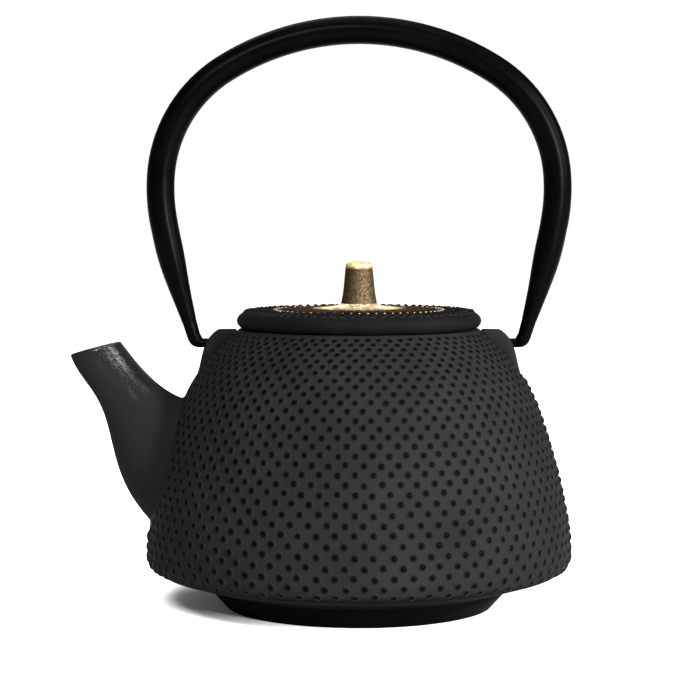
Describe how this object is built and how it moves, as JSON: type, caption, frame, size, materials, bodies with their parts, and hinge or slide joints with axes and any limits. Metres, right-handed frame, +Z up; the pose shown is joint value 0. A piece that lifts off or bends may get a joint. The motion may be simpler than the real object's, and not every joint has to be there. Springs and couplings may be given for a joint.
{
  "type": "teapot",
  "caption": "Cast-iron teapot with a hobnailed bell body, upswept spout, swinging tubular bow handle, brass-knobbed lift-off lid and steel tea infuser.",
  "frame": {"origin": "on the pot's axis, in the plane of the foot that it stands on", "axes": "+Z up along the pot's axis; the spout points to -X; the handle's hinge pins lie along X, so the upright handle lies in the XZ plane"},
  "size_m": [0.1882, 0.1594, 0.2209],
  "materials": {
    "iron_body": "matt black, fine cast texture",
    "iron_lid": "matt black, fine cast texture",
    "enamel": "glossy black vitreous enamel",
    "handle_black": "satin black",
    "rosette_brass": "antique brass, darker towards the rim",
    "knob_brass": "antique brass, hammered",
    "steel": "stainless, brushed",
    "steel_mesh": "fine stainless mesh"
  },
  "bodies": {
    "pot": {"pot_bell": "iron_body", "pot_foot": "iron_body", "pot_spout": "iron_body", "enamel_lining": "enamel"},
    "handle": {"handle_bow": "handle_black", "handle_end_left": "handle_black", "handle_end_right": "handle_black"},
    "lid": {"lid_plate": "iron_lid", "lid_rosette": "rosette_brass", "lid_knob": "knob_brass", "knob_washer": "steel", "knob_nut": "steel"},
    "infuser": {"infuser_rim": "steel", "infuser_wall": "steel_mesh", "infuser_base": "steel_mesh", "infuser_hoop": "steel"}
  },
  "joints": [
    {"name": "handle_swing", "type": "hinge", "parent": "pot", "child": "handle", "pos_m": [0, 0, 0.0987], "axis": [1, 0, 0], "range_deg": [-130, 130]},
    {"name": "lid_lift", "type": "slide", "parent": "pot", "child": "lid", "axis": [0, 0, 1], "range_m": [0, 0.075]},
    {"name": "infuser_lift", "type": "slide", "parent": "pot", "child": "infuser", "axis": [0, 0, 1], "range_m": [0, 0.0525]}
  ],
  "couplings": [
    {"joint": "infuser_lift", "follows": "lid_lift", "ratio": 0.7}
  ]
}
